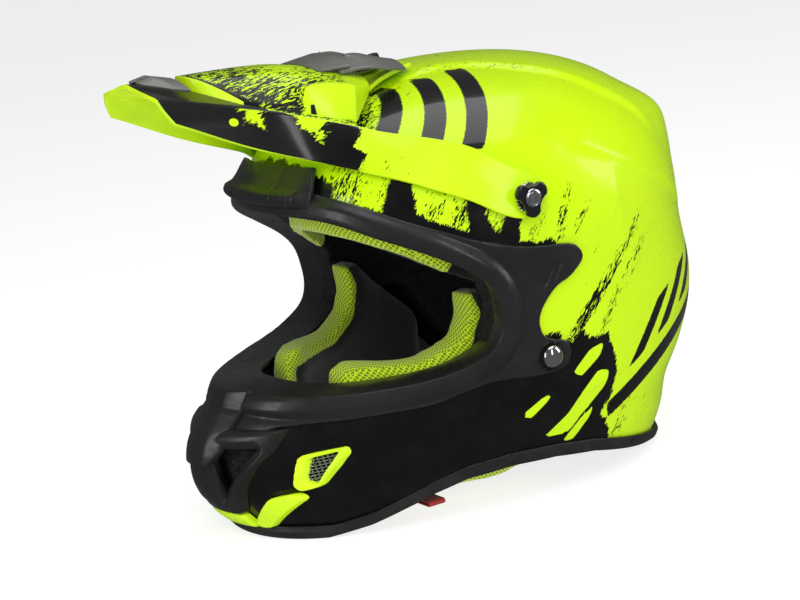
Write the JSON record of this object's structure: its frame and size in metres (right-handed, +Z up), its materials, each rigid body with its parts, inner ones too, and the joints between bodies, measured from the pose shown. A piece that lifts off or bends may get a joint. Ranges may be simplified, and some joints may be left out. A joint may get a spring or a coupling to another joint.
{
  "type": "motocross helmet",
  "caption": "Full-face off-road helmet with a tilting arched peak, open eye port, vented chin bar, foam and mesh-fabric liner and a double D-ring chin strap.",
  "frame": {"origin": "centre of the helmet's box in plan, on the plane its rim stands on", "axes": "+Z up, the face looks along -Y, +X is the wearer's left"},
  "size_m": [0.2692, 0.392, 0.294],
  "materials": {
    "lime_shell": "gloss lacquer over a fluorescent yellow-green coat",
    "lime_plastic": "moulded-through lime plastic",
    "satin_black_plastic": "satin",
    "gloss_black_plastic": "gloss",
    "black_rubber": "satin",
    "black_foam": null,
    "lime_mesh_fabric": "open knitted spacer mesh",
    "black_fabric": "brushed knit",
    "black_webbing": "woven",
    "chrome_steel": "polished",
    "satin_aluminium": "satin",
    "bare_steel": "satin",
    "grey_plastic": "satin",
    "red_webbing": "woven"
  },
  "bodies": {
    "helmet": {"outer_shell": "lime_shell", "eyeport_trim": "satin_black_plastic", "base_trim": "black_rubber", "brow_vent": "satin_black_plastic", "chin_vent_housing": "satin_black_plastic", "nose_cap": "satin_black_plastic", "chin_insert": "lime_plastic", "eps_liner": "black_foam", "chin_foam": "black_foam", "crown_pad": "black_fabric", "brow_pad": "lime_mesh_fabric", "neck_roll": "black_fabric", "centre_insert": "satin_aluminium", "side_vent_frame_left": "lime_plastic", "side_vent_frame_right": "lime_plastic", "side_vent_mesh_left": "bare_steel", "side_vent_mesh_right": "bare_steel", "chin_wedge_left": "lime_plastic", "chin_wedge_right": "lime_plastic", "cheek_pad_left": "lime_mesh_fabric", "cheek_pad_right": "lime_mesh_fabric", "release_tab_left": "red_webbing", "release_tab_right": "red_webbing", "side_insert_left": "satin_aluminium", "side_insert_right": "satin_aluminium", "strap_rivet_left": "chrome_steel", "strap_rivet_right": "chrome_steel", "strap_anchor_left": "bare_steel", "strap_anchor_right": "bare_steel"},
    "peak": {"peak": "lime_shell", "peak_cover": "grey_plastic", "peak_scoop_left": "grey_plastic", "peak_scoop_right": "grey_plastic"},
    "left_screw": {"side_screw_left": "satin_aluminium", "side_knob_left": "gloss_black_plastic"},
    "right_screw": {"side_screw_right": "satin_aluminium", "side_knob_right": "gloss_black_plastic"},
    "top_screw": {"centre_screw": "satin_aluminium", "centre_knob": "gloss_black_plastic"},
    "left_strap": {"strap_left": "black_webbing"},
    "right_strap": {"strap_right": "black_webbing", "strap_stud": "chrome_steel"},
    "upper_ring": {"d_ring_upper": "bare_steel"},
    "lower_ring": {"d_ring_lower": "bare_steel"}
  },
  "joints": [
    {"name": "peak_tilt", "type": "hinge", "parent": "helmet", "child": "peak", "pos_m": [0, 0, 0.197], "axis": [-1, 0, 0], "range_deg": [0, 8]},
    {"name": "left_screw_turn", "type": "hinge", "parent": "helmet", "child": "left_screw", "pos_m": [0.128, 0, 0.197], "axis": [1, 0, 0], "continuous": true},
    {"name": "right_screw_turn", "type": "hinge", "parent": "helmet", "child": "right_screw", "pos_m": [-0.128, 0, 0.197], "axis": [-1, 0, 0], "continuous": true},
    {"name": "top_screw_turn", "type": "hinge", "parent": "helmet", "child": "top_screw", "pos_m": [0, -0.02221, 0.27344], "axis": [0, -0.279, 0.9603], "continuous": true},
    {"name": "left_strap_swing", "type": "hinge", "parent": "helmet", "child": "left_strap", "pos_m": [0.09442, 0.056, 0.033], "axis": [0, 1, 0], "range_deg": [-52, 25]},
    {"name": "right_strap_swing", "type": "hinge", "parent": "helmet", "child": "right_strap", "pos_m": [-0.09442, 0.056, 0.033], "axis": [0, -1, 0], "range_deg": [-52, 25]},
    {"name": "upper_ring_swing", "type": "hinge", "parent": "left_strap", "child": "upper_ring", "pos_m": [0.042, 0.056, 0.0199], "axis": [0, 1, 0], "range_deg": [0, 60]},
    {"name": "lower_ring_swing", "type": "hinge", "parent": "left_strap", "child": "lower_ring", "pos_m": [0.042, 0.056, 0.0161], "axis": [0, -1, 0], "range_deg": [0, 60]}
  ]
}
